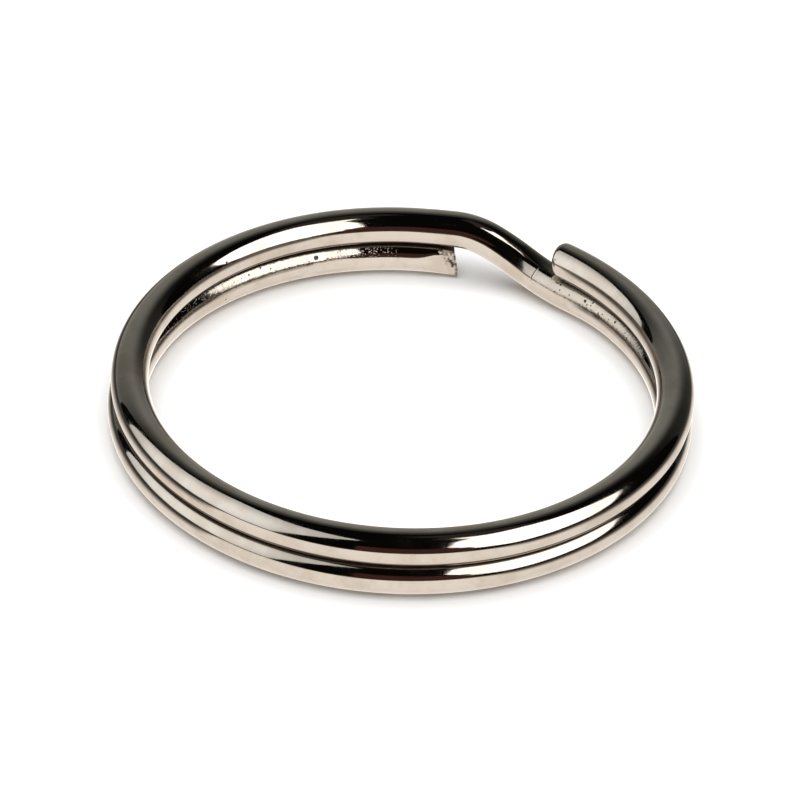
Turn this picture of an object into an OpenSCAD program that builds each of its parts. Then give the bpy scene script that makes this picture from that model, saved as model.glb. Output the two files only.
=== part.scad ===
// Split ring: one length of round sprung wire coiled twice, with a joggle that steps it from the
// upper turn down to the lower one. Where the turns bear on each other both are pressed flat.
// The lower turn stands on z = 0 and its centre is the origin. Angles run anticlockwise from +X,
// seen from above, and from its upper end the wire runs clockwise.

/* [Wire] */
// Diameter of the wire
wire_d = 1.94; // [1.2:0.02:2.6]
// Depth of the flat pressed on each turn where it bears on the other
press_depth = 0.16; // [0.05:0.01:0.3]

/* [Turns] */
// Outside diameter of the upper turn
ring_od = 30; // [20:0.5:50]
// How much more radius the lower turn has than the upper one
lower_grow = 0.07; // [0:0.01:0.2]
// How far the upper turn has crept towards +X over the lower one
upper_creep = 0.085; // [0:0.005:0.2]
// Gap between the turns at the front, where they spring together
gap_front = 0.02; // [0.01:0.01:0.2]
// Gap between the turns at the back, on either side of the joggle
gap_back = 0.15; // [0.1:0.01:0.6]

/* [Joggle] */
// Angle of the joggle's middle round the ring
joggle_at = 65.6; // [0:0.2:180]
// Length of wire from the start of the joggle to its foot
joggle_len = 7.1; // [5:0.1:9]
// Share of the joggle taken by the bend at its top
top_bend = 0.28; // [0.2:0.01:0.5]
// Share of the joggle taken by the bend at its foot
foot_bend = 0.47; // [0.2:0.01:0.5]
// How far the wire swings outward at the top bend, and inward again at the foot
swing = 0.13; // [0:0.01:0.2]
// Length of wire that already swings before the joggle
swing_before = 1.5; // [0.5:0.1:2]
// Length of wire that still swings past the joggle's foot
swing_after = 2.4; // [1:0.1:4]
// Share of the joggle over which the pressed flats run out at each end
flat_runout = 0.5; // [0.2:0.05:0.5]

/* [Upper end] */
// How far the upper end reaches back over the joggle's foot
upper_lap = 0.94; // [0:0.02:1.4]
// Lean of the upper end's face, its top standing proud
upper_lean = 12; // [0:1:25]
// Size of the broken edge all round that face
upper_edge = 0.16; // [0.05:0.01:0.25]

/* [Lower end] */
// How far the lower end reaches in under the start of the joggle
lower_reach = 0.16; // [0:0.01:0.3]
// Lean of the lower end's sheared face, its bottom standing proud
shear_lean = 9; // [0:1:25]
// Slant of that face, its inner side standing proud
shear_slant = 19; // [0:1:25]
// Length of the flat that the shear pinched into the lower end
pinch_len = 1.5; // [0.5:0.1:3]
// Depth of that flat at the sheared face
pinch_depth = 0.22; // [0.05:0.01:0.4]
// Turn of that flat from the top of the wire towards the middle of the ring
pinch_turn = 38; // [0:1:90]

/* [Hidden] */
round_fn = 180;
side_count = 28;
station_count = 32;
// the joggle is drawn this much thinner, as the die leaves it, and is rooted this far in each turn
joggle_draw = 0.03;
joggle_root = 0.5;
wire_r = wire_d / 2;
upper_r = ring_od / 2 - wire_r;
lower_r = upper_r + lower_grow;
lower_z = wire_r;
upper_z = lower_z + wire_d - 2 * press_depth + (gap_front + gap_back) / 2;
upper_tilt = atan((gap_back - gap_front) / (2 * upper_r));
joggle_top = joggle_at + degrees_of(joggle_len) / 2;
joggle_foot = joggle_at - degrees_of(joggle_len) / 2;
swing_top = joggle_top + degrees_of(swing_before);
swing_foot = joggle_foot - degrees_of(swing_after);
upper_end = joggle_foot + degrees_of(upper_lap);
lower_end = joggle_top - degrees_of(lower_reach);

// angle that a length of wire covers on a turn
function degrees_of(length) = length / upper_r * 180 / PI;

// share of the joggle that lies behind angle a
function share_at(a) = (joggle_top - a) / (joggle_top - joggle_foot);

// share of the step down that is done at share u of the joggle: bend, straight slope, bend
function step_at(u) =
    let (steep = 1 / (1 - (top_bend + foot_bend) / 2))
    u <= 0 ? 0 :
    u >= 1 ? 1 :
    u < top_bend ? steep * u * u / (2 * top_bend) :
    u > 1 - foot_bend ? 1 - steep * (1 - u) * (1 - u) / (2 * foot_bend) :
    steep * (u - top_bend / 2);

// how far the wire lies outside its circle at angle a
function swing_at(a) =
    let (w = max(0, min(1, (swing_top - a) / (swing_top - swing_foot))))
    swing * sin(360 * w) * sqrt(sin(180 * w));

// centre of the wire at angle a, on its way from the upper turn to the lower one
function centre_at(a) =
    let (
        s = step_at(share_at(a)),
        r = upper_r + s * lower_grow + swing_at(a),
        high = upper_z + upper_r * sin(a) * tan(upper_tilt)
    )
    [upper_creep * (1 - s) + r * cos(a), r * sin(a), high * (1 - s) + lower_z * s];

// height of the wire above or below its centre, u being the share of the joggle past the flat
function half_height(u) = wire_r - press_depth * max(0, min(1, 1 - u / flat_runout));

// outline of the wire at share u: flat below where it leaves the upper turn, and above at its foot
function wire_outline(u) = [
    for (k = [0:side_count - 1])
        let (a = 360 * (k + 0.5) / side_count)
        (1 - joggle_draw / wire_d) * [
            wire_r * cos(a),
            max(-half_height(u), min(half_height(1 - u), wire_r * sin(a)))
        ]
];

// one ring of points round the wire at angle a, square to its path
function station(a) =
    let (
        c = centre_at(a),
        run = centre_at(a - 0.1) - centre_at(a + 0.1),
        along = run / norm(run),
        aside = cross([0, 0, 1], along),
        out = aside / norm(aside),
        up = cross(along, out)
    )
    [for (p = wire_outline(share_at(a))) c + p[0] * out + p[1] * up];

// section of a turn, pressed flat on top
module wire_section() {
    difference() {
        circle(d = wire_d, $fn = round_fn);
        translate([-wire_r, wire_r - press_depth])
            square([wire_d, wire_r]);
    }
}

// flat arc of wire about the origin from angle a0 anticlockwise to a1, pressed flat on one side
module turn(radius, a0, a1, flat_side) {
    rotate([0, 0, a0])
        rotate_extrude(angle = a1 - a0, $fn = round_fn)
            translate([radius, 0])
                mirror([0, flat_side == "below" ? 1 : 0])
                    wire_section();
}

// frame at angle a on a turn: X points away from the ring's centre, Y along the wire
module at_angle(radius, a) {
    rotate([0, 0, a])
        translate([radius, 0, 0])
            children();
}

// block that takes off the wire near by, as far as it lies above z = 0
module cut_above() {
    translate([-wire_d, -wire_d, 0])
        cube([2 * wire_d, 2 * wire_d, wire_d]);
}

// ring that takes the edge off all round a cut face that lies on z = 0 and looks up
module broken_edge(size) {
    difference() {
        translate([0, 0, -size])
            cylinder(r = wire_d, h = 2 * size, $fn = round_fn);
        translate([0, 0, -2 * size])
            cylinder(r1 = wire_r + size, r2 = wire_r - 2 * size, h = 3 * size, $fn = round_fn);
    }
}

module upper_turn() {
    translate([upper_creep, 0, upper_z])
        rotate([upper_tilt, 0, 0])
            difference() {
                turn(upper_r, swing_top - 360, upper_end + degrees_of(wire_r), "below");
                at_angle(upper_r, upper_end)
                    rotate([-90 - upper_lean, 0, 0]) {
                        cut_above();
                        broken_edge(upper_edge);
                    }
            }
}

module lower_turn() {
    translate([0, 0, lower_z])
        difference() {
            turn(lower_r, lower_end - degrees_of(wire_r), swing_foot + 360, "above");
            at_angle(lower_r, lower_end)
                rotate([90 - shear_lean, 0, shear_slant])
                    cut_above();
            at_angle(lower_r, lower_end)
                rotate([0, -pinch_turn, 0])
                    translate([0, 0, wire_r - pinch_depth])
                        rotate([atan(pinch_depth / pinch_len), 0, 0])
                            cut_above();
        }
}

// stretch of wire from the upper turn down to the lower one
module joggle() {
    first_at = swing_top + degrees_of(joggle_root);
    last_at = swing_foot - degrees_of(joggle_root);
    rings = [for (i = [0:station_count]) station(first_at + (last_at - first_at) * i / station_count)];
    points = [for (ring = rings) each ring];
    first = [for (k = [0:side_count - 1]) k];
    last = [for (k = [side_count - 1:-1:0]) station_count * side_count + k];
    sides = [
        for (i = [0:station_count - 1])
            for (k = [0:side_count - 1])
                let (a = i * side_count + k, b = i * side_count + (k + 1) % side_count)
                [a, a + side_count, b + side_count, b]
    ];
    polyhedron(points, concat([first, last], sides));
}

module split_ring() {
    color("silver")
        union() {
            upper_turn();
            joggle();
            lower_turn();
        }
}

split_ring();
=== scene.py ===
# Split ring: a nickel plated wire coiled twice, lying on a pale floor
import math

import bmesh
import bpy
from mathutils import Matrix, Vector, noise


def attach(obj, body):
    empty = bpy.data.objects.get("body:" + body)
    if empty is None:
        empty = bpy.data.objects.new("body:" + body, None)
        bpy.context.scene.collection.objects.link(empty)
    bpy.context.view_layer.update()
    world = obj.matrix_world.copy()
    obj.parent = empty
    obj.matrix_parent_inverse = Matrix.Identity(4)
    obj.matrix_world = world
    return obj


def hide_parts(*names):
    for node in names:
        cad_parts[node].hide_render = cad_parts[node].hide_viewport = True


mm = 0.001

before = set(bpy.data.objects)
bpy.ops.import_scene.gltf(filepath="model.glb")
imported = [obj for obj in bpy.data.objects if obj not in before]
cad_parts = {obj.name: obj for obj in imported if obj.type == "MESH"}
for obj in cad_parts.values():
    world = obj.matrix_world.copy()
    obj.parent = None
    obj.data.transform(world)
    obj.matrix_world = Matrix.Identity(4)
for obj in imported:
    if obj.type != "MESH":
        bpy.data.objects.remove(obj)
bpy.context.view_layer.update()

wire = {
    "diameter": 1.94 * mm,
    "pressDepth": 0.16 * mm,     # of the flats where the turns face each other
    "flatCorner": 30,     # higher makes the flats meet the round more crisply
    "sides": 72,
    "turnStep": 1.25,     # degrees between stations on a turn
    "joggleSteps": 56,
    "endSteps": 14,
    "endCrowding": 1.5,     # draws the stations near an end towards it
    "endReach": 1.6 * mm,     # length next to an end that its shaping may move
    "capScales": (0.985, 0.96, 0.93, 0.88, 0.8, 0.7, 0.58, 0.45, 0.32, 0.2, 0.1),     # rings on an end's face
}
turns = {
    "outside": 30.0 * mm,
    "lowerGrow": 0.07 * mm,     # the lower turn's radius is this much larger
    "upperCreep": 0.085 * mm,     # the upper turn lies this far towards +X
    "gapFront": 0.02 * mm,
    "gapBack": 0.15 * mm,
}
joggle = {
    "at": 65.6,     # degrees round the ring from +X
    "length": 7.1 * mm,
    "topBend": 0.28,     # shares of the joggle taken by its bends
    "footBend": 0.47,
    "swing": 0.13 * mm,     # outward at the top bend, inward again at the foot
    "swingBefore": 1.5 * mm,
    "swingAfter": 2.4 * mm,
    "flatRunout": 0.5,     # share of the joggle along which a flat fades out
}
upperCut = {
    "lap": 1.03 * mm,     # back over the joggle's foot
    "lean": 12.0,     # top standing proud
    "edgeRound": 0.42 * mm,
    "rough": 0.006 * mm,
    "grain": 0.35 * mm,
}
lowerCut = {
    "reach": 0.16 * mm,     # in under the start of the joggle
    "lean": 9.0,     # bottom standing proud
    "slant": 19.0,     # inner side standing proud
    "edgeRound": 0.05 * mm,
    "rollLength": 0.9 * mm,     # where the shear drew the wire down
    "rollDepth": 0.26 * mm,
    "rollTurn": 42.0,     # degrees from the top towards the inner side
    "rollSoftness": 0.08 * mm,
    "facetLength": 1.7 * mm,     # and pressed its inner side flat
    "facetDepth": 0.33 * mm,
    "facetTurn": 88.0,
    "facetSoftness": 0.03 * mm,
    "tornLength": 0.58 * mm,     # where it also tore the surface
    "tornTurn": 115,     # longest here, in degrees from the outer side
    "tornLeast": 0.45,     # share of that length on the other side
    "tornFade": 0.18 * mm,
    "rough": 0.022 * mm,
    "grain": 0.3 * mm,
    "fineGrain": 0.12 * mm,
}

wireRadius = wire["diameter"] / 2
upperRadius = turns["outside"] / 2 - wireRadius
lowerZ = wireRadius
upperZ = lowerZ + wire["diameter"] - 2 * wire["pressDepth"] + (turns["gapFront"] + turns["gapBack"]) / 2
upperSlope = (turns["gapBack"] - turns["gapFront"]) / (2 * upperRadius)


def degreesOf(length):
    return math.degrees(length / upperRadius)


joggleTop = joggle["at"] + degreesOf(joggle["length"]) / 2
joggleFoot = joggle["at"] - degreesOf(joggle["length"]) / 2
swingTop = joggleTop + degreesOf(joggle["swingBefore"])
swingFoot = joggleFoot - degreesOf(joggle["swingAfter"])
upperEnd = joggleFoot + degreesOf(upperCut["lap"])
lowerEnd = joggleTop - degreesOf(lowerCut["reach"])


def fromUpperEnd(angle):
    return math.radians(upperEnd - angle) * upperRadius


def fromLowerEnd(angle):
    return math.radians(angle - lowerEnd + 720) * upperRadius


def clamp(value):
    return max(0.0, min(1.0, value))


def smooth(value):
    value = clamp(value)
    return value * value * (3 - 2 * value)


def stepShare(u):
    # how much of the step down is done: a bend, a straight slope, a bend
    top, foot = joggle["topBend"], joggle["footBend"]
    steep = 1 / (1 - (top + foot) / 2)
    if u <= 0:
        return 0.0
    if u >= 1:
        return 1.0
    if u < top:
        return steep * u * u / (2 * top)
    if u > 1 - foot:
        return 1 - steep * (1 - u) ** 2 / (2 * foot)
    return steep * (u - top / 2)


def joggleShare(angle):
    # the wire runs from the upper end, angle 55, down through the joggle at -294 to the lower end at -641
    return (joggleTop - 360 - angle) / (joggleTop - joggleFoot)


def centreAt(angle):
    s = stepShare(joggleShare(angle))
    r = upperRadius + s * turns["lowerGrow"]
    swing = clamp((swingTop - 360 - angle) / (swingTop - swingFoot))
    r += joggle["swing"] * math.sin(2 * math.pi * swing) * math.sqrt(math.sin(math.pi * swing))
    a = math.radians(angle)
    x = turns["upperCreep"] * (1 - s) + r * math.cos(a)
    high = upperZ + upperSlope * upperRadius * math.sin(a)
    return Vector((x, r * math.sin(a), high * (1 - s) + lowerZ * s))


def stationFrame(angle):
    # X out of the ring, Y back along the wire, Z up
    nudge = 0.05
    run = (centreAt(angle - nudge) - centreAt(angle + nudge)).normalized()
    out = Vector((0, 0, 1)).cross(-run).normalized()
    if out.dot(centreAt(angle)) < 0:
        out = -out
    up = Vector((0, 0, 1)) - run * run.z
    matrix = Matrix((out, -run, up.normalized())).transposed().to_4x4()
    matrix.translation = centreAt(angle)
    return matrix


def halfHeight(share):
    return wireRadius - wire["pressDepth"] * clamp(1 - share / joggle["flatRunout"])


def softLimit(z, limit):
    # a flat with soft shoulders
    corner = wire["flatCorner"]
    return z / (1 + (abs(z) / limit) ** corner) ** (1 / corner)


def pressed(point, turn, limit, soft):
    # presses the section flat beyond a limit in the direction turn degrees inwards from the top
    push = Vector((-math.sin(math.radians(turn)), math.cos(math.radians(turn))))
    reach = point.dot(push)
    if reach > limit - 6 * soft:     # short of that it changes nothing
        flat = limit - soft * math.log(1 + math.exp((limit - reach) / soft))
        point = point + push * (flat - reach)
    return point


def sectionPoint(angle, around, scale):
    u = joggleShare(angle)
    x = wireRadius * math.cos(around)
    z = wireRadius * math.sin(around)
    limit = halfHeight(1 - u) if z > 0 else halfHeight(u)
    if limit < wireRadius:
        z = softLimit(z, limit)
    point = Vector((x, z))
    left = fromLowerEnd(angle)
    if left < lowerCut["rollLength"]:
        depth = lowerCut["rollDepth"] * (1 - left / lowerCut["rollLength"]) ** 2
        point = pressed(point, lowerCut["rollTurn"], wireRadius - depth, lowerCut["rollSoftness"])
    if left < lowerCut["facetLength"]:
        depth = lowerCut["facetDepth"] * (1 - left / lowerCut["facetLength"])
        point = pressed(point, lowerCut["facetTurn"], wireRadius - depth, lowerCut["facetSoftness"])
    return point * scale


def edgeRecess(edgeRound, scale):
    start = 1 - edgeRound / wireRadius
    share = clamp((scale - start) / (1 - start))
    return edgeRound * (1 - math.sqrt(1 - share * share))


def grain(point, size, seed):
    return noise.noise(Vector((point.x / size, point.y / size, seed)))


def upperRecess(point, scale):
    # how far the end's face stands back from its station
    back = edgeRecess(upperCut["edgeRound"], scale) - point.y * math.tan(math.radians(upperCut["lean"]))
    return back + upperCut["rough"] * grain(point, upperCut["grain"], 3.1)


def lowerRecess(point, scale):
    back = edgeRecess(lowerCut["edgeRound"], scale) + point.y * math.tan(math.radians(lowerCut["lean"]))
    back += point.x * math.tan(math.radians(lowerCut["slant"]))
    uneven = grain(point, lowerCut["grain"], 7.7) + 0.5 * grain(point, lowerCut["fineGrain"], 1.9)
    return back + lowerCut["rough"] * uneven


def spaced(start, stop, steps):
    return [start + (stop - start) * i / steps for i in range(steps)]


def stationAngles():
    top = joggleTop - 360
    foot = joggleFoot - 360
    last = lowerEnd - 720
    ends = wire["endSteps"]
    reach = degreesOf(wire["endReach"])
    upperSteps = round((upperEnd - reach - top) / wire["turnStep"])
    lowerSteps = round((foot - last - reach) / wire["turnStep"])
    angles = [upperEnd - reach * (i / ends) ** wire["endCrowding"] for i in range(ends)]
    angles += spaced(upperEnd - reach, top, upperSteps)
    angles += spaced(top, foot, wire["joggleSteps"])
    angles += spaced(foot, last + reach, lowerSteps)
    angles += [last + reach * (1 - i / ends) ** wire["endCrowding"] for i in range(ends + 1)]
    return angles


def grimeAndShadeAt(angle, around):
    # 1 where the turns nearly touch, fading out as the groove between them opens: painted shade in the crease
    # between the turns, with grime there too
    upper = angle > joggleTop - 360
    alone = angle < lowerEnd - 360 if upper else angle > upperEnd - 360
    facing = math.sin(around) < 0 if upper else math.sin(around) > 0
    if alone or not facing:
        return 0.0
    opening = 2 * (wireRadius - wire["pressDepth"] - wireRadius * abs(math.sin(around)))
    return 1 - smooth((opening - dirtAndShade["grooveClosed"]) / (dirtAndShade["grooveOpen"] - dirtAndShade["grooveClosed"]))


def tornAt(angle, around):
    # 1 at the lower end, fading out where the tear stops
    side = max(0, math.cos(around - math.radians(lowerCut["tornTurn"])))
    reach = lowerCut["tornLength"] * (lowerCut["tornLeast"] + (1 - lowerCut["tornLeast"]) * side)
    return 1 - smooth((fromLowerEnd(angle) - reach) / lowerCut["tornFade"])


def placeRing(verts, angle, scale, around, along):
    for vert in verts:
        point = sectionPoint(angle, vert[around], scale)
        moved = angle
        left = fromUpperEnd(angle)
        if left < wire["endReach"]:
            moved -= degreesOf(upperRecess(point, scale) * (1 - left / wire["endReach"]) ** 2)
        left = fromLowerEnd(angle)
        if left < wire["endReach"]:
            moved += degreesOf(lowerRecess(point, scale) * (1 - left / wire["endReach"]) ** 2)
        vert.co = stationFrame(moved) @ Vector((point.x, 0, point.y))
        vert[along] = angle


def extrudeRim(bm, rim):
    grown = bmesh.ops.extrude_edge_only(bm, edges=rim)["geom"]
    verts = [part for part in grown if isinstance(part, bmesh.types.BMVert)]
    fresh = set(verts)
    edges = [part for part in grown if isinstance(part, bmesh.types.BMEdge)
             and part.verts[0] in fresh and part.verts[1] in fresh]
    return verts, edges


def layWireMap(bm, around, along):
    # U in turns along the wire, growing towards the lower end, V in turns round it
    uvLayer = bm.loops.layers.uv.new("wire")
    for face in bm.faces:
        spread = [loop.vert[around] for loop in face.loops]
        wraps = max(spread) - min(spread) > math.pi
        for loop in face.loops:
            turn = loop.vert[around]
            if wraps and turn < 0:
                turn += 2 * math.pi
            loop[uvLayer].uv = (-loop.vert[along] / 360, turn / (2 * math.pi))


def orderOf(place):
    return place.x + 1.7 * place.y + 2.9 * place.z


def makeRing():
    bm = bmesh.new()
    around, along, grimeAndShade, sheared = [bm.verts.layers.float.new(name)
                                     for name in ("around", "along", "grimeAndShade", "sheared")]
    verts = bmesh.ops.create_circle(bm, segments=wire["sides"], radius=wireRadius)["verts"]
    for vert in verts:
        vert[around] = math.atan2(vert.co.y, vert.co.x)
    rim = list(bm.edges)
    rings = [(upperEnd, scale) for scale in reversed(wire["capScales"])]
    rings += [(angle, 1) for angle in stationAngles()]
    rings += [(lowerEnd - 720, scale) for scale in wire["capScales"]]
    placeRing(verts, *rings[0], around, along)
    for angle, scale in rings[1:]:
        verts, rim = extrudeRim(bm, rim)
        placeRing(verts, angle, scale, around, along)
    bmesh.ops.holes_fill(bm, edges=[edge for edge in bm.edges if edge.is_boundary], sides=0)
    bmesh.ops.recalc_face_normals(bm, faces=bm.faces)
    bm.verts.sort(key=lambda vert: orderOf(vert.co))     # extruding leaves them in no fixed order
    bm.edges.sort(key=lambda edge: orderOf(edge.verts[0].co + edge.verts[1].co))
    bm.faces.sort(key=lambda face: orderOf(face.calc_center_median()))
    for vert in bm.verts:
        # painted shade and grime where the turns nearly touch
        vert[grimeAndShade] = grimeAndShadeAt(vert[along], vert[around])
        vert[sheared] = tornAt(vert[along], vert[around])
    for face in bm.faces:
        face.smooth = True
    layWireMap(bm, around, along)
    mesh = bpy.data.meshes.new("splitRing")
    bm.to_mesh(mesh)
    bm.free()
    ring = bpy.data.objects.new("splitRing", mesh)
    bpy.context.scene.collection.objects.link(ring)
    return ring


def addNode(owner, kind, **settings):
    # owner is a material or the world
    node = owner.node_tree.nodes.new(kind)
    for key, value in settings.items():
        if key in node.inputs:
            node.inputs[key].default_value = value
        else:
            setattr(node, key, value)
    return node


def link(owner, source, target):
    owner.node_tree.links.new(source, target)


def newMaterial(name, kind="ShaderNodeBsdfPrincipled"):
    material = bpy.data.materials.new(name)
    material.use_nodes = True
    material.node_tree.nodes.clear()
    output = addNode(material, "ShaderNodeOutputMaterial")
    shader = addNode(material, kind)
    link(material, shader.outputs[0], output.inputs["Surface"])
    return material, shader


def maths(material, operation, first, *others):
    # takes the values in turn, so a sum, product or maximum may have many
    for second in others or (None,):
        node = addNode(material, "ShaderNodeMath", operation=operation)
        for socket, value in zip(node.inputs, (first, second)):
            if isinstance(value, (int, float)):
                socket.default_value = value
            elif value is not None:
                link(material, value, socket)
        first = node.outputs[0]
    return first


def ramp(material, source, low, high, start=0.0, end=1.0):
    # carries source from low..high smoothly to start..end
    node = addNode(material, "ShaderNodeMapRange", interpolation_type="SMOOTHSTEP")
    for name, value in (("From Min", low), ("From Max", high), ("To Min", start), ("To Max", end)):
        node.inputs[name].default_value = value
    link(material, source, node.inputs["Value"])
    return node.outputs["Result"]


def blend(material, share, first, second):
    # colours or sockets mixed by share
    node = addNode(material, "ShaderNodeMix", data_type="RGBA")
    link(material, share, node.inputs["Factor"])
    for name, value in (("A", first), ("B", second)):
        socket = [s for s in node.inputs if s.name == name and s.type == "RGBA"][0]
        if isinstance(value, tuple):
            socket.default_value = value
        else:
            link(material, value, socket)
    return [s for s in node.outputs if s.type == "RGBA"][0]


def noiseOf(material, vector, scale, detail, roughness=0.5):
    node = addNode(material, "ShaderNodeTexNoise", Scale=scale, Detail=detail, Roughness=roughness)
    link(material, vector, node.inputs["Vector"])
    return node.outputs["Fac"]


def relief(material, vector, kind):
    scale, detail, roughness, height = kind
    return maths(material, "MULTIPLY", noiseOf(material, vector, scale, detail, roughness), height)


def clouded(material, vector, kind):
    scale, detail, roughness, low, high = kind
    return ramp(material, noiseOf(material, vector, scale, detail, roughness), low, high)


def stretched(material, vector, scale):
    node = addNode(material, "ShaderNodeMapping", Scale=scale)
    link(material, vector, node.inputs["Vector"])
    return node.outputs["Vector"]


nickel = {
    "colour": (0.69, 0.62, 0.545, 1),
    "dullColour": (0.57, 0.49, 0.405, 1),
    "roughness": 0.055,
    "dullRoughness": 0.12,
    "tornRoughness": 0.3,
    # noise scale, detail and roughness, and the levels it fades between
    "clouds": (420, 4.0, 0.6, 0.4, 0.66),
    "cloudDullness": 0.75,
    "scuffDullness": 0.7,
    "lineStretch": (26, 150, 1),     # draw lines along the wire
    "lines": (1.0, 3.0, 0.6),
    "lineLevels": (0.3, 0.7),
    "lineRoughness": 0.01,
    "lineHeight": 0.0003 * mm,
    # noise scale, detail and roughness, and height
    "orangePeel": (1500, 2.0, 0.5, 0.0012 * mm),
    "scuffs": (7000, 3.0, 0.6, 0.0024 * mm),
    "fineScuffs": (9000, 2.0, 0.6, 0.014 * mm),
    "torn": (7500, 3.0, 0.6, 0.035 * mm),
}
dirtAndShade = {
    # this dark colour marks the dirty places, and also paints shade into the groove between the turns
    "colour": (0.085, 0.06, 0.036, 1),
    "paleColour": (0.4, 0.33, 0.24, 1),     # in the groove under the upper end
    "roughness": 0.55,
    "metallic": 0.25,
    "grooveClosed": 0.01 * mm,
    "grooveOpen": 0.09 * mm,
    # noise scale and raggedness, and the levels it fades between
    "grimeAndShadeEdge": (3500, 0.7, 0.45, 0.75),
    "tornEdge": (5200, 1.0, 0.4, 0.6),
    "stains": (6200, 3.0, 0.5, 0.54, 0.66),     # in the tear
    "stainMost": 0.7,
    "rimWidth": 0.11 * mm,     # round the lower end
    "rimFull": 0.3,     # share of that width
    "rimClouds": (4200, 2.0, 0.5, 0.46, 0.56),
}
marks = {
    "pitDepth": 0.03 * mm,
    "pitCore": 0.45,     # share of its radius that is full depth
    "pitEdgeScale": 6500,
    "pitRaggedness": 0.06 * mm,
    # angle along the wire, which counts down from 55 at the upper end, angle round it, radius
    "pits": (
        (-306.6, 119, 0.16 * mm), (-305.6, 115, 0.1 * mm), (-308.1, 142, 0.05 * mm),
        (-315.3, 136, 0.1 * mm), (-316.2, 143, 0.06 * mm), (-317.4, 128, 0.06 * mm),
        (-320.2, 146, 0.06 * mm), (-321.4, 141, 0.05 * mm), (-325.8, 134, 0.08 * mm),
        (-331.5, 146, 0.08 * mm), (-608.9, 144, 0.15 * mm), (-595.1, 132, 0.07 * mm),
        (-591.7, 140, 0.07 * mm), (-584.2, -174, 0.05 * mm), (-224.0, 148, 0.08 * mm),
        (-307.6, 124, 0.08 * mm), (-309.0, 120, 0.06 * mm), (54.9, 134, 0.06 * mm),
        (54.1, 146, 0.06 * mm), (-317.3, 140, 0.05 * mm), (-320.0, 150, 0.05 * mm),
        (-323.8, 142, 0.045 * mm), (-330.2, 138, 0.05 * mm), (-333.2, 146, 0.045 * mm),
        (-597.5, 144, 0.05 * mm), (-589.6, 142, 0.045 * mm), (-598.7, 130, 0.045 * mm),
        (-639.7, 158, 0.08 * mm), (-640.1, 165, 0.12 * mm), (-640.5, 172, 0.13 * mm),
        (-640.7, 180, 0.13 * mm), (-640.6, -172, 0.08 * mm), (-639.3, 168, 0.06 * mm),
    ),
    "bulges": ((-638.9, 134, 0.42 * mm),),
    "bulgeHeight": 0.06 * mm,
    # cell scale, share of the cells that hold one, and where its core and its rim end in a cell
    "specks": (5200, 0.09, 0.16, 0.3),
    "blisters": (12500, 0.6, 0.0, 0.42),
    "blisterHeight": 0.0042 * mm,
    # from, to and fade, in degrees round the wire from its outer side
    "scuffSide": (100, 158, 10.8),
    "blisterSide": (100, 158, 7.2),
    "dieMarkSide": (122, 165, 9.0),
    # the same along the wire, here the angle without its minus sign
    "scuffed": ((306, 336, 7.2), (584, 614, 5.4)),
    "blistered": ((540, 592, 7.2), (617, 627, 3.6)),
    "paleGroove": (304, 320, 7.2),
    "scuffClouds": (900, 3.0, 0.5, 0.25, 0.5),
    "dieMarkAt": -300.3,
    "dieMarkDepth": 0.008 * mm,
    "dieMarkWidth": 0.06 * mm,
}


def surfacePoint(angle, around):
    point = sectionPoint(angle, math.radians(around), 1)
    return stationFrame(angle) @ Vector((point.x, 0, point.y))


def spots(material, position, places):
    # 1 inside each place, its edge uneven
    uneven = addNode(material, "ShaderNodeTexNoise", Scale=marks["pitEdgeScale"], Detail=2.0)
    shifted = addNode(material, "ShaderNodeVectorMath", operation="MULTIPLY_ADD")
    shifted.inputs[1].default_value = Vector((1, 1, 1)) * marks["pitRaggedness"]
    link(material, position, uneven.inputs["Vector"])
    link(material, uneven.outputs["Color"], shifted.inputs[0])
    link(material, position, shifted.inputs[2])
    found = []
    for angle, around, radius in places:
        away = addNode(material, "ShaderNodeVectorMath", operation="DISTANCE")
        away.inputs[1].default_value = surfacePoint(angle, around)
        link(material, shifted.outputs[0], away.inputs[0])
        found.append(ramp(material, away.outputs["Value"], marks["pitCore"] * radius, radius, 1, 0))
    return maths(material, "MAXIMUM", *found) if len(found) > 1 else found[0]


def window(material, source, span):
    # 1 inside a span of degrees, fading on both sides of it
    low, high, fade = [degrees / 360 for degrees in span]
    return maths(material, "MULTIPLY", ramp(material, source, low - fade, low),
                 ramp(material, source, high, high + fade, 1, 0))


def innerPatch(material, along, around, side, stretches):
    # the lower turn's inner side, over some stretches of it
    inner = window(material, maths(material, "ABSOLUTE", around), side)
    over = maths(material, "MAXIMUM", *[window(material, along, stretch) for stretch in stretches])
    return maths(material, "MULTIPLY", inner, over)


def raggedMask(material, position, name, edge):
    # a value kept on the mesh, its edge uneven
    scale, raggedness, low, high = edge
    kept = addNode(material, "ShaderNodeAttribute", attribute_name=name).outputs["Fac"]
    uneven = maths(material, "SUBTRACT", noiseOf(material, position, scale, 3.0), 0.5)
    uneven = maths(material, "MULTIPLY", uneven, raggedness)
    return ramp(material, maths(material, "ADD", kept, uneven), low, high)


def dots(material, position, kind, channel):
    # a dot in the middle of some cells, picked by one channel of their random colours
    scale, share, core, edge = kind
    cells = addNode(material, "ShaderNodeTexVoronoi", Scale=scale)
    pick = addNode(material, "ShaderNodeSeparateColor")
    link(material, position, cells.inputs["Vector"])
    link(material, cells.outputs["Color"], pick.inputs[0])
    chosen = maths(material, "LESS_THAN", pick.outputs[channel], share)
    return maths(material, "MULTIPLY", ramp(material, cells.outputs["Distance"], core, edge, 1, 0), chosen)


def rimMask(material, position, along):
    # dirt caught on the burr round the lower end
    end = (720 - lowerEnd) / 360
    width = degreesOf(dirtAndShade["rimWidth"]) / 360
    near = ramp(material, along, end - width, end - dirtAndShade["rimFull"] * width)
    return maths(material, "MULTIPLY", near, clouded(material, position, dirtAndShade["rimClouds"]))


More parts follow.
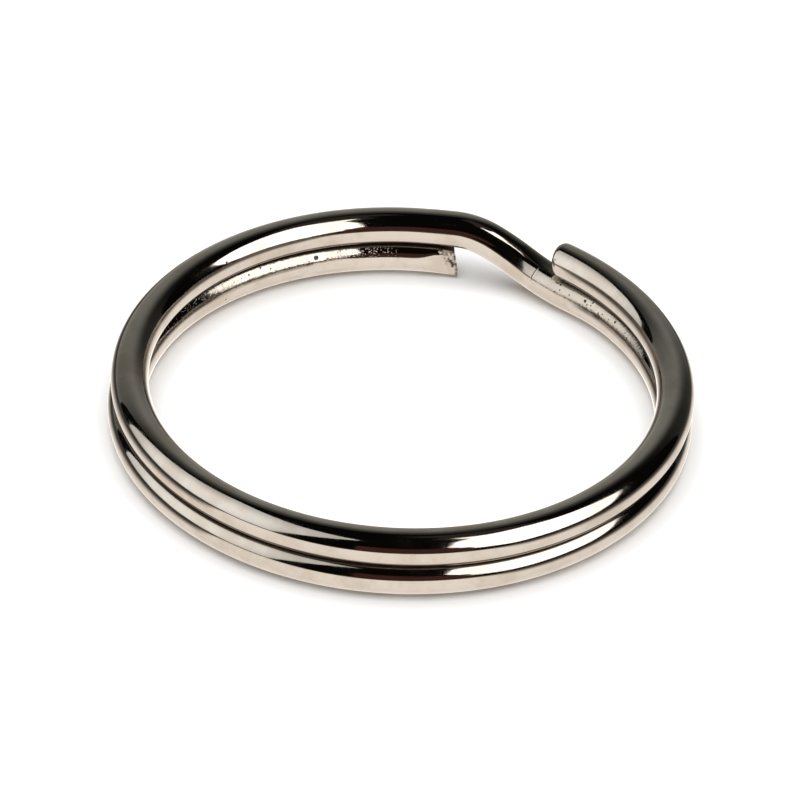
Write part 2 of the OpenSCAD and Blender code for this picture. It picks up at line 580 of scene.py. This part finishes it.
def dieMark(material, along, around):
    # the forming die's edge left a fine groove square across the inner side of the joggle
    away = maths(material, "ABSOLUTE", maths(material, "ADD", along, marks["dieMarkAt"] / 360))
    width = degreesOf(marks["dieMarkWidth"]) / 360
    inner = window(material, maths(material, "ABSOLUTE", around), marks["dieMarkSide"])
    return maths(material, "MULTIPLY", inner, ramp(material, away, 0, width, -marks["dieMarkDepth"], 0))


def nickelPlate():
    material, shader = newMaterial("nickelPlate")
    position = addNode(material, "ShaderNodeTexCoord").outputs["Object"]
    uv = addNode(material, "ShaderNodeUVMap", uv_map="wire").outputs["UV"]
    wireWay = addNode(material, "ShaderNodeSeparateXYZ")
    link(material, uv, wireWay.inputs[0])
    along, around = wireWay.outputs["X"], wireWay.outputs["Y"]

    # cloudy dull patches, and faint draw lines along the wire
    clouds = clouded(material, position, nickel["clouds"])
    lines = noiseOf(material, stretched(material, uv, nickel["lineStretch"]), *nickel["lines"])
    scuffed = maths(material, "MULTIPLY", clouded(material, position, marks["scuffClouds"]),
                    innerPatch(material, along, around, marks["scuffSide"], marks["scuffed"]))
    torn = raggedMask(material, position, "sheared", dirtAndShade["tornEdge"])

    # what is dirty: the groove, which also gets painted shade, pits, specks, the tear and its rim
    # painted shade in the crease between the turns, with grime, its edge uneven
    grimeAndShade = raggedMask(material, position, "grimeAndShade", dirtAndShade["grimeAndShadeEdge"])
    pits = spots(material, position, marks["pits"])
    specks = maths(material, "MULTIPLY", dots(material, position, marks["specks"], 0), scuffed)
    stains = clouded(material, position, dirtAndShade["stains"])
    soilAndShade = maths(material, "MAXIMUM", grimeAndShade, pits, specks, rimMask(material, position, along),
                 maths(material, "MULTIPLY", stains, dirtAndShade["stainMost"], torn))

    dullness = maths(material, "MAXIMUM", maths(material, "MULTIPLY", clouds, nickel["cloudDullness"]),
                     maths(material, "MULTIPLY", scuffed, nickel["scuffDullness"]))
    metalColour = blend(material, dullness, nickel["colour"], nickel["dullColour"])
    pale = maths(material, "MULTIPLY", grimeAndShade, window(material, along, marks["paleGroove"]))
    dirtAndShadeColour = blend(material, pale, dirtAndShade["colour"], dirtAndShade["paleColour"])
    link(material, blend(material, soilAndShade, metalColour, dirtAndShadeColour), shader.inputs["Base Color"])
    link(material, ramp(material, soilAndShade, 0, 1, 1, dirtAndShade["metallic"]), shader.inputs["Metallic"])

    plateRoughness = ramp(material, dullness, 0, 1, nickel["roughness"], nickel["dullRoughness"])
    uneven = nickel["lineRoughness"]
    lineRoughness = ramp(material, lines, *nickel["lineLevels"], -uneven, uneven)
    roughness = maths(material, "MAXIMUM", maths(material, "ADD", plateRoughness, lineRoughness),
                      maths(material, "MULTIPLY", soilAndShade, dirtAndShade["roughness"]),
                      maths(material, "MULTIPLY", torn, nickel["tornRoughness"]))
    link(material, roughness, shader.inputs["Roughness"])

    scuffs = maths(material, "ADD", relief(material, position, nickel["scuffs"]),
                   relief(material, position, nickel["fineScuffs"]))
    blisters = maths(material, "MULTIPLY", dots(material, position, marks["blisters"], 1),
                     innerPatch(material, along, around, marks["blisterSide"], marks["blistered"]))
    bulges = spots(material, position, marks["bulges"])
    height = maths(material, "ADD", relief(material, position, nickel["orangePeel"]),
                   maths(material, "MULTIPLY", scuffs, scuffed),
                   maths(material, "MULTIPLY", relief(material, position, nickel["torn"]), torn),
                   maths(material, "MULTIPLY", lines, nickel["lineHeight"]),
                   maths(material, "MULTIPLY", pits, -marks["pitDepth"]),
                   maths(material, "MULTIPLY", bulges, marks["bulgeHeight"]),
                   maths(material, "MULTIPLY", blisters, marks["blisterHeight"]),
                   dieMark(material, along, around))
    bump = addNode(material, "ShaderNodeBump", Strength=1.0, Distance=1.0)
    link(material, height, bump.inputs["Height"])
    link(material, bump.outputs["Normal"], shader.inputs["Normal"])
    return material


ring = makeRing()
ring.data.materials.append(nickelPlate())
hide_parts("split_ring")
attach(ring, "root")
print("ring made:", len(ring.data.polygons), "faces")

studio = {
    "floorColour": (0.90, 0.897, 0.893, 1),
    "floorRoughness": 0.9,
    "floorGloss": 0.1,
    "floorRadius": 1.2,
    "roundness": 96,     # sides of the floor and the table
    "distance": 0.7,     # from the ring to what the metal shows
    "secondBounce": 0.4,     # what is left of a light where it shows twice over in the metal
    "fillPower": 67.0,
    "fillHeight": 1.6,
    "fillWidth": 3.0,
    "darkColour": (0.003, 0.0027, 0.0024, 1),
    "backgroundColour": (0.88, 0.88, 0.88, 1),
}
# facing and corners are azimuth and elevation seen from the ring: azimuth 0 is +Y, 90 is +X
panels = {
    "rightLight": {
        "facing": (119, 34),
        "corners": ((80.5, 37), (97, 12), (106, 6), (137, 6), (151, 14), (160, 30), (152, 55), (132, 68),
                    (119, 78), (104, 72.5), (92, 71), (81, 68), (81, 64)),
        "colour": (1, 1, 1),
        "light": 2.1,
    },
    "leftLight": {
        "facing": (-108, 25),
        "corners": ((-163, 58), (-150, 38), (-142, 20), (-136, 1),
                    (-64, 0), (-59, 45), (-52, 63), (-110, 68)),
        "colour": (0.955, 0.985, 1),
        "light": 1.1,
        "brightest": (-100, 24),
        "fadeFrom": 0.1,     # metres from there
        "fadeTo": 0.75,
        "fullGain": 1.12,
        "fadedGain": 0.62,
    },
    "wall": {
        "facing": (0, 0),
        "corners": ((-54, -3), (58, -3), (50, 52), (-48, 52)),
        "colour": (0.93, 0.97, 0.93),
        "light": 0.39,
        "height": 2.0,     # in panel distances
        # share of the height, share of the light
        "fadeUp": ((0.0, 1.0), (0.12, 0.7), (0.36, 0.52), (0.46, 0.38),
                   (0.6, 0.17), (0.9, 0.06), (1.0, 0.03)),
        "sides": 1.3,     # how far out the sides are, and what light is left there
        "sideLight": 0.5,
        "right": 0.8,
        "rightLight": 0.2,
    },
    "doorway": {
        "facing": (180, 5),
        "corners": ((152, 1), (194, 1), (194, 26), (152, 22)),
        "colour": (1, 0.45, 0.32),
        "light": 0.055,
    },
    "haze": {
        "facing": (70, 72),
        "corners": ((0, 78), (20, 66), (80, 60), (140, 68), (140, 79), (70, 82)),
        "colour": (1, 0.96, 0.85),
        "light": 0.03,
        "distance": 4.0,
    },
}
# x and y are parts of the direction from the ring to the table: right and away from the camera
table = {
    "colour": (1, 0.965, 0.925),
    "light": 1.02,
    "edge": 1.0,     # degrees below level
    "edgeLight": 0.06,
    "unlit": 0.05,     # share of the depth at which it is fully lit
    "edgeFade": 1.6,
    "litLeft": 0.6,     # that depth at each side
    "litRight": 0.42,
    "sides": 0.4,     # x of the sides
    "litNear": 0.14,     # and the share of it that is left close by
    "nearBy": (-0.95, -0.6),     # y
    "nearByShift": 0.45,     # how much further back at the left
    "aheadLight": 0.4,     # paler straight ahead
    "ahead": (0.2, 0.7),
    "aheadAcross": (0.1, 0.45),
    "farGain": 1.4,     # and paler still far ahead
    "far": (0.55, 0.75),
    "farAcross": (0.2, 0.45),
    "nearGain": 1.08,
    "near": (-0.9, 0.0),
}


def direction(azimuth, elevation):
    a = math.radians(azimuth)
    e = math.radians(elevation)
    return Vector((math.sin(a) * math.cos(e), math.cos(a) * math.cos(e), math.sin(e)))


def makeStage(name, bm, material):
    mesh = bpy.data.meshes.new(name)
    bm.to_mesh(mesh)
    bm.free()
    mesh.materials.append(material)
    thing = bpy.data.objects.new(name, mesh)
    bpy.context.scene.collection.objects.link(thing)
    return thing


def showOnlyInMetal(thing):
    thing.visible_camera = False
    thing.visible_diffuse = False
    thing.visible_shadow = False


def makeFloor():
    material, shader = newMaterial("floorPaint")
    shader.inputs["Base Color"].default_value = studio["floorColour"]
    shader.inputs["Roughness"].default_value = studio["floorRoughness"]
    shader.inputs["Specular IOR Level"].default_value = studio["floorGloss"]
    bm = bmesh.new()
    bmesh.ops.create_circle(bm, cap_ends=True, segments=studio["roundness"], radius=studio["floorRadius"])
    makeStage("floor", bm, material).visible_glossy = False


def glow(name, colour, strength=1.0):
    material, lamp = newMaterial(name, "ShaderNodeEmission")
    lamp.inputs["Color"].default_value = (*colour, 1)
    lamp.inputs["Strength"].default_value = strength
    return material, lamp


def onceSeen(material, strength, lamp):
    # dims a light that reaches the eye by two reflections, as shade inside the ring would
    path = addNode(material, "ShaderNodeLightPath")
    again = maths(material, "MAXIMUM", maths(material, "SUBTRACT", path.outputs["Glossy Depth"], 1.0), 0.0)
    left = maths(material, "POWER", studio["secondBounce"], again)
    link(material, maths(material, "MULTIPLY", strength, left), lamp.inputs["Strength"])


def awayFromRing(material):
    # the place as x, y and z in panel distances
    place = addNode(material, "ShaderNodeTexCoord").outputs["Object"]
    scaled = addNode(material, "ShaderNodeVectorMath", operation="SCALE", Scale=1 / studio["distance"])
    split = addNode(material, "ShaderNodeSeparateXYZ")
    link(material, place, scaled.inputs[0])
    link(material, scaled.outputs[0], split.inputs[0])
    return split.outputs


def tableGlow():
    # the table as the metal sees it: dark at its edge, pale near by and straight ahead
    material, lamp = glow("tableGlow", table["colour"])
    x, y, z = awayFromRing(material)
    across = maths(material, "ABSOLUTE", x)
    sides = (-table["sides"], table["sides"])
    nearBy = maths(material, "SUBTRACT", y, ramp(material, x, *sides, table["nearByShift"], 0.0))
    litDepth = maths(material, "MULTIPLY", ramp(material, x, *sides, table["litLeft"], table["litRight"]),
                     ramp(material, nearBy, *table["nearBy"], table["litNear"], 1.0))
    depth = maths(material, "DIVIDE", maths(material, "MULTIPLY", z, -1.0), litDepth)
    lit = maths(material, "POWER", ramp(material, depth, table["unlit"], 1.0), table["edgeFade"])
    ahead = maths(material, "MULTIPLY", ramp(material, y, *table["ahead"]),
                  ramp(material, across, *table["aheadAcross"], table["aheadLight"], 0.0))
    lit = maths(material, "MAXIMUM", lit, ahead, table["edgeLight"])
    near = ramp(material, y, *table["near"], table["nearGain"], 1.0)
    far = maths(material, "MULTIPLY", ramp(material, y, *table["far"]),
                ramp(material, across, *table["farAcross"], 1.0, 0.0))
    far = ramp(material, far, 0.0, 1.0, 1.0, table["farGain"])
    onceSeen(material, maths(material, "MULTIPLY", lit, near, far, table["light"]), lamp)
    return material


def makeTable():
    bm = bmesh.new()
    sides = studio["roundness"]
    bmesh.ops.create_uvsphere(bm, u_segments=sides, v_segments=sides // 2, radius=studio["distance"])
    edge = -math.sin(math.radians(table["edge"])) * studio["distance"]
    everything = list(bm.verts) + list(bm.edges) + list(bm.faces)
    bmesh.ops.bisect_plane(bm, geom=everything, plane_co=(0, 0, edge), plane_no=(0, 0, 1), clear_outer=True)
    showOnlyInMetal(makeStage("tableBowl", bm, tableGlow()))


def wallGlow(panel):
    # bright at the foot, dark higher up and to the right
    material, lamp = glow("wallGlow", panel["colour"])
    x, y, z = awayFromRing(material)
    fade = addNode(material, "ShaderNodeValToRGB")
    fade.color_ramp.interpolation = "B_SPLINE"
    while len(fade.color_ramp.elements) < len(panel["fadeUp"]):
        fade.color_ramp.elements.new(0.5)
    for element, (position, value) in zip(fade.color_ramp.elements, panel["fadeUp"]):
        element.position = position
        element.color = (value, value, value, 1)
    link(material, maths(material, "DIVIDE", z, panel["height"]), fade.inputs[0])
    sides = ramp(material, maths(material, "ABSOLUTE", x), 0.0, panel["sides"], 1.0, panel["sideLight"])
    right = ramp(material, x, 0.0, panel["right"], 1.0, panel["rightLight"])
    strength = maths(material, "MULTIPLY", fade.outputs["Color"], panel["light"], sides, right)
    onceSeen(material, strength, lamp)
    return material


def softboxGlow(name, panel):
    # even, or brightest round one direction
    material, lamp = glow(name, panel["colour"])
    level = panel["light"]
    if "brightest" in panel:
        away = addNode(material, "ShaderNodeVectorMath", operation="DISTANCE")
        away.inputs[1].default_value = direction(*panel["brightest"]) * studio["distance"]
        link(material, addNode(material, "ShaderNodeTexCoord").outputs["Object"], away.inputs[0])
        level = ramp(material, away.outputs["Value"], panel["fadeFrom"], panel["fadeTo"],
                     panel["fullGain"] * level, panel["fadedGain"] * level)
    onceSeen(material, level, lamp)
    return material


def makePanel(name, material):
    # flat, and square to the direction that it faces
    panel = panels[name]
    square = direction(*panel["facing"])
    bm = bmesh.new()
    verts = bmesh.ops.create_circle(bm, cap_ends=True, segments=len(panel["corners"]), radius=1)["verts"]
    for vert, corner in zip(verts, panel["corners"]):
        ray = direction(*corner)
        vert.co = ray * (panel.get("distance", studio["distance"]) / ray.dot(square))
    showOnlyInMetal(makeStage(name, bm, material))


def makeFill():
    light = bpy.data.lights.new("overheadFill", "AREA")
    light.shape = "DISK"
    light.size = studio["fillWidth"]
    light.energy = studio["fillPower"]
    lamp = bpy.data.objects.new("overheadFill", light)
    lamp.location = (0, 0, studio["fillHeight"])
    lamp.visible_glossy = False
    lamp.visible_camera = False
    bpy.context.scene.collection.objects.link(lamp)


def makeWorld():
    # dark all round, but pale where the camera looks past the floor
    world = bpy.data.worlds.new("darkRoom")
    world.use_nodes = True
    dark = world.node_tree.nodes["Background"]
    dark.inputs["Color"].default_value = studio["darkColour"]
    pale = addNode(world, "ShaderNodeBackground", Color=studio["backgroundColour"])
    path = addNode(world, "ShaderNodeLightPath")
    mix = addNode(world, "ShaderNodeMixShader")
    link(world, path.outputs["Is Camera Ray"], mix.inputs["Fac"])
    link(world, dark.outputs["Background"], mix.inputs[1])
    link(world, pale.outputs["Background"], mix.inputs[2])
    link(world, mix.outputs["Shader"], world.node_tree.nodes["World Output"].inputs["Surface"])
    bpy.context.scene.world = world


makeFloor()
makeTable()
makePanel("rightLight", softboxGlow("rightGlow", panels["rightLight"]))
makePanel("leftLight", softboxGlow("leftGlow", panels["leftLight"]))
makePanel("wall", wallGlow(panels["wall"]))
for name in ("doorway", "haze"):
    makePanel(name, glow(name + "Glow", panels[name]["colour"], panels[name]["light"])[0])
makeFill()
makeWorld()
bpy.context.scene.view_settings.view_transform = "Standard"
print("studio made")

shot = {
    "elevation": 35.9,
    "distance": 301.7 * mm,
    "lens": 263.85,
    "sensor": 36.0,
    "roll": 2.52,
    "aimAcross": -0.105 * mm,
    "aimUp": -0.406 * mm,
}


def makeCamera():
    data = bpy.data.cameras.new("camera")
    data.lens = shot["lens"]
    data.sensor_width = shot["sensor"]
    data.clip_start = 0.01
    data.clip_end = 10
    camera = bpy.data.objects.new("camera", data)
    middle = Vector((turns["upperCreep"], 0, (upperZ + lowerZ) / 2))
    camera.location = middle + direction(180, shot["elevation"]) * shot["distance"]
    aim = middle + Vector((shot["aimAcross"], 0, shot["aimUp"]))
    look = (aim - camera.location).to_track_quat("-Z", "Y").to_matrix()
    camera.rotation_euler = (look @ Matrix.Rotation(math.radians(shot["roll"]), 3, "Z")).to_euler()
    bpy.context.scene.collection.objects.link(camera)
    bpy.context.scene.camera = camera


makeCamera()
print("camera set")
